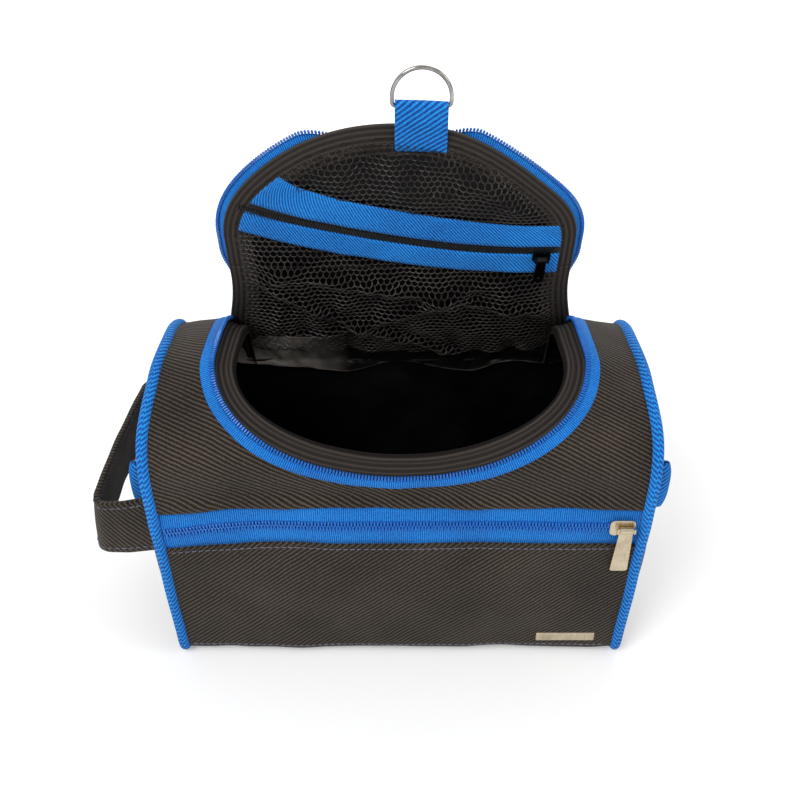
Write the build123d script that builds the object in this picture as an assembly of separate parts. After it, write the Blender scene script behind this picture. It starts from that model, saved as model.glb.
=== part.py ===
from build123d import *
import math
import os

# A soft wash bag that stands on its base. Its ends are shaped like a letter box, with a round top.
# A wide lid unrolls from the back wall, and a zipped pocket covers the lower front.
# X runs along the bag with the handle at -X, -Y is the front, +Z is up, and the origin is under the middle.
# All sizes are in millimetres, and all angles are in degrees.

# Case
case_length = 254.0  # between the middles of the two pipings
case_depth = 130.0
case_height = 176.0
foot_radius = 10.0  # rounding along the front and back of the base
end_bulge = 9.0  # how far each end panel swells out
panel_thickness = 1.2
padding_thickness = 2.4
lining_thickness = 0.6
piping_radius = 2.5
piping_sunk = 1.0  # the middle of the piping, in from the outside of the case
seam_gap = 0.15  # between sewn pieces with round faces

# Mouth of the case, measured round the top from the back wall, where 90 is the crest
hinge_angle = 15.0
mouth_end_margin = 23.0  # from the middle of each piping to the mouth
straight_end_angle = 105.0  # where the sides of the mouth begin to curve in
mouth_front_angle = 173.0
mouth_view_tilt = 30.0  # the front of the mouth is an ellipse when seen at this slope
coil_half_width = 2.2
coil_thickness = 2.4
tape_thickness = 0.8
case_tape_width = 5.5
binding_thickness = 1.2
binding_overlap = 5.0  # of the case, behind the mouth
mouth_binding_reach = 4.5  # past the edge of the mouth

# Lid, made of three flaps in a row that fold at two lines
lid_tape_width = 8.7
lid_edge_clearance = 0.6  # between the two halves of the zip, along the sides
lid_flap_length = 56.6
lid_first_direction = 121.0  # of the first flap in the open pose, from the +Y axis
lid_open_bend = -12.0  # between neighbouring flaps in the open pose, where the lid arches back
lid_padding_thickness = 1.8
lid_binding_out = 6.0  # past the seam, over the tape
lid_binding_in = 2.5  # inside the seam, over the lining
fold_clearance = 0.1
lid_closed_bend = 53.0
hinge_seam_radius = 1.8
hinge_seam_gap = 0.4

# Mesh pocket in the lid
mesh_thickness = 0.8
mesh_seat_gap = 0.4
mesh_zip_centre = 38.5  # up the middle flap
mesh_zip_gap = 5.0
mesh_coil_thickness = 1.6
mesh_coil_width = 1.6
band_width = 13.0
band_thickness = 1.6
mesh_foot = 5.0  # bare strip between the hinge and the mesh

# Front pocket
pocket_zip_height = 96.0
pocket_tape_width = 9.4
pocket_room = 1.9
pocket_liner_thickness = 0.5
coil_slit = 1.1  # between the two rows of coil, for the slider's blade
pocket_coil_width = 2.4

# Zip sliders and pulls
slider_length = 13.0
slider_width = 9.6
slider_plate = 0.7
slider_foot_width = 5.8
slider_room = 0.3
blade_thickness = 0.7
blade_length = 3.0
pin_radius = 0.8
pin_clearance = 0.08
pin_lift = 1.9  # of the pin above the slider's upper plate
ear_thickness = 1.0
pull_width = 7.0
pull_tip_width = 9.4
pull_length = 30.0
pull_thickness = 1.2
pull_tilt = 5.0
pull_side_gap = 0.25
knuckle_wall = 0.9
pocket_slider_inset = 12.0  # from the middle of the piping to the slider at rest
mesh_slider_inset = 22.3  # from the side of the mouth zip to the slider at rest
mesh_pull_length = 17.0
mesh_pull_tip_width = 5.4
mesh_pull_hole = 1.2
mesh_slider_scale = 0.72
main_slider_drop = 13.0  # below the line where the top starts to curve
tail_length = 34.0  # of the joined ends of the main zip, down the back wall from that line
tail_half_width = 7.5

# Hanging tab and ring
tab_x = 10.0
tab_width = 25.0
tab_patch_length = 10.7
tab_loop_length = 13.8
tab_layer = 1.2
tab_hinge_gap = 0.4
ring_wire = 2.0
ring_inside = 25.6
ring_height = 17.7
ring_clearance = 0.3

# Handle, side tabs and name plate
handle_height = 95.0  # of the middle of the strap
handle_width = 32.0
handle_thickness = 3.0
handle_reach = 31.0
handle_span = 123.0
handle_corner = 9.0
handle_anchor = 10.0  # from each seam to the line the handle swings about
handle_lug_radius = 6.0  # where a sewn end laps the outside of the strap
handle_lug_thickness = 1.5
handle_lap_gap = 0.3
side_tab_height = 28.0
side_tab_middle = 112.0
side_tab_reach = 7.5
side_tab_thickness = 2.6
side_tab_y = -49.0
side_tab_round = 6.0
plate_inset = 33.5  # from the middle of the piping to the middle of the plate
plate_height = 14.5
plate_length = 33.0
plate_width = 6.0
plate_thickness = 0.8

# Worked out
mouth_half_width = case_length / 2 - mouth_end_margin
pocket_slider_x = case_length / 2 - pocket_slider_inset
plate_x = case_length / 2 - plate_inset
round_radius = case_depth / 2
spring_height = case_height - round_radius
main_slider_height = spring_height - main_slider_drop
tail_foot_height = spring_height - tail_length
wall_thickness = panel_thickness + padding_thickness + lining_thickness
shell_length = case_length - 2 * (piping_radius + seam_gap)
end_foot = 2 * piping_radius + seam_gap
zip_surface = panel_thickness / 2  # depth of the middle of a zip below the outside
seam_line = mouth_half_width - case_tape_width - coil_half_width
lid_half_width = seam_line - lid_edge_clearance
mesh_slider_x = seam_line - mesh_slider_inset
hinge_seam_end = hinge_angle - math.degrees((hinge_seam_radius + hinge_seam_gap) / round_radius)
lid_seam_inset = lid_tape_width + coil_half_width
lid_outside = -(panel_thickness + lid_padding_thickness + lining_thickness) / 2
lid_inside = -lid_outside
lid_length = 3 * lid_flap_length
hinge_point = (
    (round_radius - 0.5) * math.cos(math.radians(hinge_angle)),
    spring_height + (round_radius - 0.5) * math.sin(math.radians(hinge_angle)),
)
far = 2 * case_height


def save(shape, name):
    os.makedirs("parts", exist_ok=True)
    export_step(shape, f"parts/{name}.step")


def solids(*shapes):
    return Compound(children=[s for shape in shapes for s in shape.solids()])


# Shapes that the case shares


def end_shape(inset, foot=None):
    """The outline of the case from the end, moved in by inset, as a face across X."""
    foot = inset if foot is None else foot
    half = round_radius - inset
    corner = max(foot_radius - inset, 1.0)
    left = [(-half, spring_height), (-half, foot + corner), (-half + corner, foot)]
    right = [(half - corner, foot), (half, foot + corner), (half, spring_height)]
    edges = [
        Line(left[0], left[1]),
        RadiusArc(left[1], left[2], -corner),
        Line(left[2], right[0]),
        RadiusArc(right[0], right[1], -corner),
        Line(right[1], right[2]),
        ThreePointArc(right[2], (0, spring_height + half), left[0]),
    ]
    return Plane.YZ * make_face(edges)


def along_case(face, length):
    return extrude(Pos(-length / 2, 0, 0) * face, length)


def shell(outer, inner, length=None):
    length = shell_length if length is None else length
    return along_case(end_shape(outer) - end_shape(inner), length)


def sector(start, end, length=None, reach=None):
    """All that lies between two angles round the middle of the round top."""
    length = shell_length + 2 * far if length is None else length
    reach = far if reach is None else reach
    steps = max(2, math.ceil((end - start) / 30))
    angles = [math.radians(start + (end - start) * k / steps) for k in range(steps + 1)]
    rim = [(reach * math.cos(a), spring_height + reach * math.sin(a)) for a in angles]
    return along_case(Plane.YZ * make_face(Polyline((0, spring_height), *rim, close=True)), length)


def block(x, y, z):
    """A box given by its two limits along each axis."""
    size = [limit[1] - limit[0] for limit in (x, y, z)]
    return Pos(x[0], y[0], z[0]) * Box(*size, align=(Align.MIN,) * 3)


def mouth_cut(inset):
    """Everything inside the mouth, whose edge is moved in by inset."""
    half = mouth_half_width - inset
    sides = sector(hinge_seam_end, straight_end_angle + 1, length=2 * half)
    tilt = math.radians(mouth_view_tilt)
    top = round_radius * math.sin(math.radians(straight_end_angle + mouth_view_tilt))
    low = round_radius * math.sin(math.radians(mouth_front_angle + mouth_view_tilt))
    slope = -math.cos(math.radians(mouth_front_angle + mouth_view_tilt))
    view = Plane(
        origin=(0, 0, spring_height), x_dir=(1, 0, 0), z_dir=(0, -math.cos(tilt), math.sin(tilt))
    )
    oval = Pos(0, top) * Ellipse(half, top - low - inset * slope)
    lower = Pos(0, top + 1) * Rectangle(2 * far, far, align=(Align.CENTER, Align.MAX))
    depth = round_radius / 2
    front = extrude(view.offset(depth) * (oval & lower), far)
    return sides + front


# Case


front = (-far, -round_radius + foot_radius)
back = (round_radius - foot_radius, far)
zip_top = pocket_zip_height + pocket_tape_width + pocket_coil_width
zip_foot = pocket_zip_height - pocket_tape_width - pocket_coil_width
wide = (-far, far)


def top_region():
    return sector(hinge_seam_end, 90) + block(wide, (-far, 0), (zip_top, far))


def back_region():
    return sector(0, hinge_seam_end) + block(wide, back, (-far, spring_height))


def tail_cut(half, above_foot):
    """The window in the back wall, at each side, that holds the joined end of the main zip."""
    window = sector(0, hinge_seam_end, length=2 * half)
    window += block((-half, half), back, (tail_foot_height + above_foot, spring_height))
    return Pos(seam_line, 0, 0) * window + Pos(-seam_line, 0, 0) * window


def hinge_tube():
    y, z = hinge_point
    return Pos(0, y, z) * Rot(0, 90, 0) * Cylinder(hinge_seam_radius, 2 * (seam_line - 0.5))


def make_case():
    outer = shell(0, panel_thickness)
    pad = shell(panel_thickness, panel_thickness + padding_thickness)
    mouth = mouth_cut(0)
    tail = tail_cut(tail_half_width, 0)
    save(solids((outer & top_region()) - mouth), "top_panel")
    lip = sector(hinge_seam_end - 1, hinge_angle, length=2 * (seam_line - 0.5)) - hinge_tube()
    save(solids((outer & (back_region() + lip)) - tail), "back_panel")
    middle = (front[1], back[0])
    save(solids(outer & block(wide, middle, (-far, foot_radius))), "bottom_panel")
    save(solids(outer & block(wide, front, (-far, zip_foot))), "front_pocket_panel")
    padding = (pad & (top_region() + back_region())) - mouth - tail
    save(solids(padding), "wall_padding")
    save(solids(pad & block(wide, middle, (-far, foot_radius))), "base_board")
    depth = panel_thickness + pocket_room
    liner = shell(depth, depth + pocket_liner_thickness)
    save(solids(liner & block(wide, front, (foot_radius, zip_top))), "front_pocket_liner")

    inner = panel_thickness + padding_thickness
    skin = shell(inner, wall_thickness)
    wall = along_case(end_shape(wall_thickness), lining_thickness)
    reach = (shell_length - lining_thickness) / 2
    bag = skin - mouth + Pos(reach, 0, 0) * wall + Pos(-reach, 0, 0) * wall
    save(solids(bag), "lining")


def end_dome(inset, lift, side):
    """A low dome on the end of the case, whose foot lies lift outside the middle of the piping."""
    levels = [(0.0, 0.0), (0.16, 0.45), (0.38, 0.8), (0.66, 1.0)]
    room = round_radius - inset
    faces = [
        Pos(side * (case_length / 2 + lift + rise * end_bulge), 0, 0)
        * end_shape(inset + share * room, end_foot + share * room)
        for share, rise in levels
    ]
    return loft(Sketch() + faces, ruled=True)


def make_ends():
    edge = piping_sunk + piping_radius + seam_gap
    for side, name in ((-1, "left"), (1, "right")):
        outside = end_dome(edge, panel_thickness, side)
        hollow = end_dome(edge, 0, side)
        slab = along_case(end_shape(edge, end_foot), panel_thickness)
        foot = Pos(side * (case_length + panel_thickness) / 2, 0, 0) * slab
        save(solids((outside + foot) - hollow), f"{name}_end_panel")
        start = shell_length / 2
        filler = along_case(end_shape(edge, end_foot), case_length / 2 - start)
        stuffing = hollow + Pos(side * (case_length / 2 + start) / 2, 0, 0) * filler
        save(solids(stuffing), f"{name}_end_padding")

        path = end_shape(piping_sunk, piping_radius).face().outer_wire()
        path = Pos(side * case_length / 2, 0, 0) * path
        start_plane = Plane(origin=path @ 0, z_dir=path % 0)
        save(solids(sweep(start_plane * Circle(piping_radius), path=path)), f"{name}_piping")


def make_main_zip():
    """The half of the main zip that is sewn to the case, with its joined ends on the back wall."""
    inset = (panel_thickness - tape_thickness) / 2
    tape = shell(inset, inset + tape_thickness)
    lift = (coil_thickness - panel_thickness) / 2
    coil = shell(-lift, coil_thickness - lift)
    window = tail_cut(tail_half_width, 0)
    chain = tail_cut(coil_half_width + coil_slit / 2, 2)
    slit = tail_cut(coil_slit / 2, 2)
    outer, middle, edge = (mouth_cut(i) for i in (0, case_tape_width, case_tape_width + coil_half_width))
    save(solids((tape & (outer - middle)) + (tape & (window - chain))), "main_zip_tape")
    save(solids(coil & (middle - edge), coil & (chain - slit)), "main_zip_coil")
    start = wall_thickness + 0.2
    band = shell(start, start + binding_thickness)
    overlap = mouth_cut(-binding_overlap) - mouth_cut(mouth_binding_reach)
    save(solids(band & overlap), "mouth_binding")


def make_pocket_zip():
    inset = (panel_thickness - tape_thickness) / 2
    tape = shell(inset, inset + tape_thickness)
    slit = coil_slit / 2
    row = slit + pocket_coil_width
    low = block(wide, front, (zip_foot, pocket_zip_height - row))
    high = block(wide, front, (pocket_zip_height + row, zip_top))
    save(solids(tape & low, tape & high), "front_zip_tape")
    lift = (coil_thickness - panel_thickness) / 2
    coil = shell(-lift, coil_thickness - lift, length=shell_length - 2)
    low = block(wide, front, (pocket_zip_height - row, pocket_zip_height - slit))
    high = block(wide, front, (pocket_zip_height + slit, pocket_zip_height + row))
    save(solids(coil & low, coil & high), "front_zip_coil")


# Zip sliders and pulls. In their own plane X runs along the zip, Z points away from it,
# and the origin is in the middle of the coil.


def slider(size, pin_x, coil, turn):
    """The zip runs along X, or along Y if the slider's body is turned. The pin stays along X."""
    plate_foot = coil / 2 + slider_room
    upper = RectangleRounded(size * slider_length, size * slider_width, size * 2.5)
    lower = RectangleRounded(size * slider_length, size * slider_foot_width, size * 2.5)
    top = Pos(0, 0, plate_foot) * extrude(upper, slider_plate)
    foot = Pos(0, 0, -plate_foot - slider_plate) * extrude(lower, slider_plate)
    blade_x = size * (slider_length - blade_length) / 2 - 0.5
    blade = Pos(blade_x, 0, 0) * Box(size * blade_length, blade_thickness, 2 * plate_foot + 0.2)
    top, foot, blade = (Rot(0, 0, turn) * piece for piece in (top, foot, blade))
    pin_z = plate_foot + slider_plate + pin_lift
    knuckle = size * pull_width
    reach = knuckle / 2 + pull_side_gap + ear_thickness
    pin = Pos(pin_x, 0, pin_z) * Rot(0, 90, 0) * Cylinder(pin_radius, 2 * reach)
    ear_height = pin_lift + pin_radius + 0.5
    body = top + foot + blade + pin
    for side in (-1, 1):
        x = pin_x + side * (reach - ear_thickness / 2)
        body += Pos(x, 0, plate_foot + slider_plate + ear_height / 2) * Box(ear_thickness, 3.0, ear_height)
    return body, pin_z


def pull(size, length, tip_width, hole=0.0):
    """Hangs from its pin along -Y, with the pin at the origin."""
    bore = pin_radius + pin_clearance
    knuckle = Rot(0, 90, 0) * Cylinder(bore + knuckle_wall, size * pull_width)
    half, tip = size * pull_width / 2, tip_width / 2
    outline = make_face(Polyline((-half, 0), (half, 0), (tip, -length), (-tip, -length), close=True))
    outline = fillet(outline.vertices().group_by(Axis.Y)[0], tip * 0.3)
    if hole:
        outline -= Pos(0, -length + hole + 1.2) * Circle(hole)
    plate = Pos(0, 0, -pull_thickness / 2) * extrude(outline, pull_thickness)
    plate = Rot(pull_tilt, 0, 0) * plate
    return knuckle + plate - Rot(0, 90, 0) * Cylinder(bore, far)


def save_slider(plane, size, pin_x, name, length, tip_width, hole=0.0, coil=coil_thickness, turn=0):
    body, pin_z = slider(size, pin_x, coil, turn)
    save(solids(plane * body), f"{name}_slider")
    save(solids(plane * Pos(pin_x, 0, pin_z) * pull(size, length, tip_width, hole)), f"{name}_pull")


def make_sliders():
    surface = round_radius - zip_surface
    origin = (pocket_slider_x, -surface, pocket_zip_height)
    plane = Plane(origin=origin, x_dir=(1, 0, 0), z_dir=(0, -1, 0))
    save_slider(plane, 1.0, 1.5, "front_zip", pull_length, pull_tip_width)

    origin = (seam_line, surface, main_slider_height)
    plane = Plane(origin=origin, x_dir=(-1, 0, 0), z_dir=(0, 1, 0))
    save_slider(plane, 1.0, 0, "main_zip", pull_length, pull_tip_width, turn=90)

    zip_level = lid_inside + mesh_seat_gap + mesh_thickness + band_thickness / 2
    plane = lid_plane(1) * Plane(origin=(mesh_slider_x, mesh_zip_centre, zip_level))
    size = mesh_slider_scale
    tip, hole = mesh_pull_tip_width, mesh_pull_hole
    save_slider(plane, size, 0, "mesh_zip", mesh_pull_length, tip, hole, coil=mesh_coil_thickness)


# Lid. In a flap's own plane X runs along the bag, Y up the lid, and Z towards the inside of the bag.


def lid_direction(flap):
    return lid_first_direction + lid_open_bend * flap


def lid_corner(flap):
    y, z = hinge_point
    for k in range(flap):
        angle = math.radians(lid_direction(k))
        y += lid_flap_length * math.cos(angle)
        z += lid_flap_length * math.sin(angle)
    return y, z


def lid_plane(flap):
    y, z = lid_corner(flap)
    angle = math.radians(lid_direction(flap) + 90)
    return Plane(origin=(0, y, z), x_dir=(1, 0, 0), z_dir=(0, math.cos(angle), math.sin(angle)))


def lid_outline(inset):
    """The lid laid flat, with its hinge on the X axis."""
    straight = math.radians(straight_end_angle - hinge_angle) * round_radius
    half = lid_half_width - inset
    body = Rectangle(2 * half, straight, align=(Align.CENTER, Align.MIN))
    nose = Pos(0, straight) * Ellipse(half, lid_length - straight - inset)
    return body + (nose & Pos(0, straight) * Rectangle(2 * far, far, align=(Align.CENTER, Align.MIN)))


def flap_slice(outline, flap, low, high, level, thickness):
    """The part of a flat outline that lies on one flap, between two heights up that flap."""
    strip = Pos(0, flap * lid_flap_length + low) * Rectangle(
        2 * far, high - low, align=(Align.CENTER, Align.MIN)
    )
    piece = Pos(0, -flap * lid_flap_length) * (outline & strip)
    return lid_plane(flap) * Pos(0, 0, level) * extrude(piece, thickness)


def fold_gap(bottom, top):
    """Half the gap at a fold line, so that a layer between these levels stays clear, open or closed."""
    closed = max(top, 0) * math.tan(math.radians(lid_closed_bend / 2))
    opened = max(-bottom, 0) * math.tan(math.radians(-lid_open_bend / 2))
    return max(closed, opened) + fold_clearance


def lid_layer(outline, level, thickness, name):
    for flap, part in enumerate(("rear", "middle", "front")):
        gap = fold_gap(level, level + thickness)
        low = hinge_seam_radius + hinge_seam_gap if flap == 0 else gap
        high = lid_flap_length + 1 if flap == 2 else lid_flap_length - gap
        save(solids(flap_slice(outline, flap, low, high, level, thickness)), f"lid_{part}_{name}")


def make_lid():
    seam = lid_outline(lid_seam_inset)
    coil_edge = lid_outline(coil_half_width)
    lid_layer(seam, lid_outside, panel_thickness, "panel")
    lid_layer(lid_outline(lid_seam_inset + 0.5), lid_outside + panel_thickness, lid_padding_thickness, "padding")
    lid_layer(seam, lid_inside - lining_thickness, lining_thickness, "lining")
    lid_layer(coil_edge - seam, -tape_thickness / 2, tape_thickness, "zip_tape")
    lid_layer(lid_outline(0) - coil_edge, -coil_thickness / 2, coil_thickness, "zip_coil")
    band = lid_outline(lid_seam_inset - lid_binding_out) - lid_outline(lid_seam_inset + lid_binding_in)
    lid_layer(band, lid_inside, binding_thickness, "binding")
    save(solids(hinge_tube()), "hinge_seam")


def make_mesh_pocket():
    inside = lid_outline(lid_seam_inset + lid_binding_in)
    level = lid_inside + mesh_seat_gap
    gap = fold_gap(level, level + mesh_thickness)
    slit = mesh_zip_gap / 2
    low_band = (mesh_zip_centre - slit - band_width, mesh_zip_centre - slit)
    high_band = (mesh_zip_centre + slit, mesh_zip_centre + slit + band_width)
    top = lid_flap_length - gap
    stretches = (
        ("lower_rear_mesh", 0, mesh_foot, top),
        ("lower_middle_mesh", 1, gap, low_band[1]),
        ("upper_middle_mesh", 1, high_band[0], top),
        ("upper_front_mesh", 2, gap, lid_flap_length),
    )
    for name, flap, low, high in stretches:
        save(solids(flap_slice(inside, flap, low, high, level, mesh_thickness)), name)
    band_level = level + mesh_thickness
    for name, (low, high) in (("lower_mesh_band", low_band), ("upper_mesh_band", high_band)):
        save(solids(flap_slice(inside, 1, low, high, band_level, band_thickness)), name)
    coil_level = band_level + (band_thickness - mesh_coil_thickness) / 2
    rows = []
    for side in (-1, 1):
        middle = mesh_zip_centre + side * (coil_slit + mesh_coil_width) / 2
        low, high = middle - mesh_coil_width / 2, middle + mesh_coil_width / 2
        rows.append(flap_slice(inside, 1, low, high, coil_level, mesh_coil_thickness))
        tape_low, tape_high = (high, mesh_zip_centre + slit) if side > 0 else (mesh_zip_centre - slit, low)
        rows[-1] += flap_slice(inside, 1, tape_low, tape_high, band_level + 0.4, 0.5)
    save(solids(*rows), "mesh_zip_coil")


# Hanging tab and ring, on the front flap


def make_tab():
    plane = lid_plane(2)
    level = lid_inside + binding_thickness
    edge = lid_flap_length - coil_half_width - lid_tape_width + lid_binding_out
    patch = Pos(tab_x, edge - tab_patch_length, level) * Box(
        tab_width, tab_patch_length, tab_layer, align=(Align.CENTER, Align.MIN, Align.MIN)
    )
    save(solids(plane * patch), "hanging_tab_patch")
    eye = ring_wire / 2 + ring_clearance
    bar_y = edge + tab_hinge_gap + tab_loop_length - eye - tab_layer
    bar_z = level + tab_layer
    barrel = Pos(tab_x, bar_y, bar_z) * Rot(0, 90, 0) * Cylinder(eye + tab_layer, tab_width)
    leaf_low = edge + tab_hinge_gap
    leaf = Pos(tab_x, leaf_low, bar_z) * Box(
        tab_width, bar_y - leaf_low, 2 * tab_layer, align=(Align.CENTER, Align.MIN, Align.CENTER)
    )
    hole = Pos(tab_x, bar_y, bar_z) * Rot(0, 90, 0) * Cylinder(eye, 2 * tab_width)
    save(solids(plane * (barrel + leaf - hole)), "hanging_tab_loop")

    half = (ring_inside + ring_wire) / 2
    shoulder = ring_height - half
    path = Wire(
        [
            Line((-half, 0), (half, 0)),
            Line((half, 0), (half, shoulder)),
            ThreePointArc((half, shoulder), (0, shoulder + half), (-half, shoulder)),
            Line((-half, shoulder), (-half, 0)),
        ]
    )
    path = path.fillet_2d(ring_wire, path.vertices().group_by(Axis.Y)[0])
    start = Plane(origin=path @ 0.5, z_dir=path % 0.5)
    ring = sweep(start * Circle(ring_wire / 2), path=path)
    save(solids(plane * Pos(tab_x, bar_y, bar_z) * ring), "hanging_ring")


# Handle, side tabs and name plate


def make_handle():
    foot_x = -(case_length / 2 + piping_radius + seam_gap)
    far_x = foot_x - handle_reach
    half = handle_span / 2
    middle = Polyline((foot_x, -half), (far_x, -half), (far_x, half), (foot_x, half))
    rounded = fillet(middle.vertices().group_by(Axis.X)[0], handle_corner)
    strap = offset(rounded, handle_thickness / 2, side=Side.BOTH)
    strap = make_face(strap) if not strap.faces() else strap
    strap = Pos(0, 0, handle_height - handle_width / 2) * extrude(strap, handle_width)
    joint_x = foot_x - handle_anchor
    lap = handle_anchor
    strap_end = lug_shape(joint_x, joint_x - lap)
    sewn_end = lug_shape(joint_x, foot_x)
    lap_y = half + handle_thickness / 2 - handle_lug_thickness
    outer_layer = block(wide, (-far, -lap_y), wide) + block(wide, (lap_y, far), wide)
    inner_layer = block(wide, (-lap_y + handle_lap_gap, lap_y - handle_lap_gap), wide)
    loose = block((-far, joint_x - lap), wide, wide) + (strap_end & inner_layer)
    save(solids(strap & sewn_end & outer_layer), "handle_ends")
    save(solids(strap & loose), "handle_strap")


def lug_shape(pin_x, wide_x):
    """A strap end seen from the front, which narrows from its full width to a round lug."""
    half = handle_width / 2
    taper = Polyline((wide_x, half), (pin_x, handle_lug_radius), (pin_x, -handle_lug_radius), (wide_x, -half), close=True)
    shape = make_face(taper) + Pos(pin_x, 0) * Circle(handle_lug_radius)
    return Pos(0, 0, handle_height) * extrude(Plane.XZ * shape, far, both=True)


def make_side_tabs():
    for side, name in ((-1, "left"), (1, "right")):
        foot = case_length / 2 + panel_thickness + seam_gap
        outline = Rectangle(side_tab_reach, side_tab_height, align=(Align.MIN, Align.CENTER))
        outline = fillet(outline.vertices().group_by(Axis.X)[-1], side_tab_round)
        tab = Plane.XZ * extrude(outline, side_tab_thickness / 2, both=True)
        tab = Pos(foot, side_tab_y, side_tab_middle) * tab
        edge = piping_sunk + piping_radius + seam_gap
        tab = tab - end_dome(edge, panel_thickness + seam_gap, 1)
        tab = max(tab.solids(), key=lambda s: s.volume)
        save(solids(tab if side > 0 else mirror(tab, about=Plane.YZ)), f"{name}_side_tab")


def make_name_plate():
    face = RectangleRounded(plate_length, plate_width, 0.8)
    plate = chamfer(extrude(face, plate_thickness).edges().group_by(Axis.Z)[-1], 0.25)
    plane = Plane(origin=(plate_x, -round_radius, plate_height), x_dir=(1, 0, 0), z_dir=(0, -1, 0))
    save(solids(plane * plate), "name_plate")


make_case()
make_ends()
make_main_zip()
make_pocket_zip()
make_sliders()
make_lid()
make_mesh_pocket()
make_tab()
make_handle()
make_side_tabs()
make_name_plate()
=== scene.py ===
import math

import bmesh
import bpy
from mathutils import Matrix, Vector, noise


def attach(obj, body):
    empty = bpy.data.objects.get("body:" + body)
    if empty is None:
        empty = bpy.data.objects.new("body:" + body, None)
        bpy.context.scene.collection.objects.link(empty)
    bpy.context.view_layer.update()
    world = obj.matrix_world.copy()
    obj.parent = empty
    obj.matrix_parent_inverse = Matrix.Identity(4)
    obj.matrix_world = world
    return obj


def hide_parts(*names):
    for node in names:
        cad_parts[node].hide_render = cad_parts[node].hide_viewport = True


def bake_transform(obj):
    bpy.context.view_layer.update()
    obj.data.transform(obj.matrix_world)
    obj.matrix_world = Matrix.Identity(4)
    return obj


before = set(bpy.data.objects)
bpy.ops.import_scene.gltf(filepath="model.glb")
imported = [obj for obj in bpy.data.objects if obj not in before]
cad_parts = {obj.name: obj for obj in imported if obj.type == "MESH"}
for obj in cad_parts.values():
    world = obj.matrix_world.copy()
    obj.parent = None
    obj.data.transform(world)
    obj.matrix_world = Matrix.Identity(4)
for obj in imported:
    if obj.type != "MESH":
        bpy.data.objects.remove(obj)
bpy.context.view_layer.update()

# Studio: a pale floor, soft light from all round with a key lamp on the left,
# and a camera that looks down at the bag from the front.
scene = bpy.context.scene
scene.view_settings.view_transform = "Standard"
camera_tilt = math.radians(33)
camera_distance = 0.5012
camera_target = Vector((0, 0, 0.1317))
camera_data = bpy.data.cameras.new("camera")
camera_data.lens = 40.5
camera_data.sensor_width = 36.0
camera = bpy.data.objects.new("camera", camera_data)
scene.collection.objects.link(camera)
camera.location = camera_target + camera_distance * Vector((0, -math.cos(camera_tilt), math.sin(camera_tilt)))
camera.rotation_euler = (math.pi / 2 - camera_tilt, 0, 0)
scene.camera = camera


def show_to_camera(tree, unseen, seen, output):
    """Lights the scene with one shader, and shows the camera the other."""
    light_path = tree.nodes.new("ShaderNodeLightPath")
    mix = tree.nodes.new("ShaderNodeMixShader")
    tree.links.new(light_path.outputs["Is Camera Ray"], mix.inputs[0])
    tree.links.new(unseen.outputs[0], mix.inputs[1])
    tree.links.new(seen.outputs[0], mix.inputs[2])
    tree.links.new(mix.outputs[0], output.inputs[0])


surround_strength = 0.62
world = bpy.data.worlds.new("studio")
world.use_nodes = True
scene.world = world
surround = world.node_tree.nodes["Background"]
backdrop = world.node_tree.nodes.new("ShaderNodeBackground")
surround.inputs["Strength"].default_value = surround_strength
for sky in (surround, backdrop):
    sky.inputs["Color"].default_value = (1, 1, 1, 1)
show_to_camera(world.node_tree, surround, backdrop, world.node_tree.nodes["World Output"])


def lamp(name, place, target, size, watts):
    data = bpy.data.lights.new(name, "AREA")
    data.shape = "DISK"
    data.size = size
    data.energy = watts
    light = bpy.data.objects.new(name, data)
    scene.collection.objects.link(light)
    light.location = place
    light.rotation_euler = (Vector(place) - Vector(target)).to_track_quat("Z", "Y").to_euler()


lamp("key_lamp", (-0.9, -1.1, 1.5), (0, 0, 0.1), 1.0, 19)
lamp("side_lamp", (1.4, -0.5, 0.9), (0, 0, 0.1), 0.9, 6)
lamp("back_lamp", (0.3, 1.3, 1.4), (0, 0, 0.15), 1.2, 7)

floor_size = 4.0
floor_grey = (0.86, 0.86, 0.86, 1)
glow_by_distance = (("From Min", 0.25), ("From Max", 0.8), ("To Min", 0.22), ("To Max", 0.6))
floor_bm = bmesh.new()
bmesh.ops.create_grid(floor_bm, x_segments=2, y_segments=2, size=floor_size)
floor_mesh = bpy.data.meshes.new("floor")
floor_bm.to_mesh(floor_mesh)
floor_bm.free()
floor = bpy.data.objects.new("floor", floor_mesh)
scene.collection.objects.link(floor)
floor_paint = bpy.data.materials.new("floor_paint")
floor_paint.use_nodes = True
floor_tree = floor_paint.node_tree
floor_shader = floor_tree.nodes["Principled BSDF"]
floor_shader.inputs["Base Color"].default_value = floor_grey
floor_shader.inputs["Roughness"].default_value = 0.9
# The camera sees a glow over the paint, which grows with the distance from the bag.
floor_place = floor_tree.nodes.new("ShaderNodeTexCoord")
floor_reach = floor_tree.nodes.new("ShaderNodeVectorMath")
floor_reach.operation = "LENGTH"
floor_fade = floor_tree.nodes.new("ShaderNodeMapRange")
for socket, value in glow_by_distance:
    floor_fade.inputs[socket].default_value = value
floor_glow = floor_tree.nodes.new("ShaderNodeEmission")
floor_sum = floor_tree.nodes.new("ShaderNodeAddShader")
floor_tree.links.new(floor_place.outputs["Object"], floor_reach.inputs[0])
floor_tree.links.new(floor_reach.outputs["Value"], floor_fade.inputs["Value"])
floor_tree.links.new(floor_fade.outputs[0], floor_glow.inputs["Strength"])
floor_tree.links.new(floor_shader.outputs[0], floor_sum.inputs[0])
floor_tree.links.new(floor_glow.outputs[0], floor_sum.inputs[1])
show_to_camera(floor_tree, floor_shader, floor_sum, floor_tree.nodes["Material Output"])
floor_mesh.materials.append(floor_paint)

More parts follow.
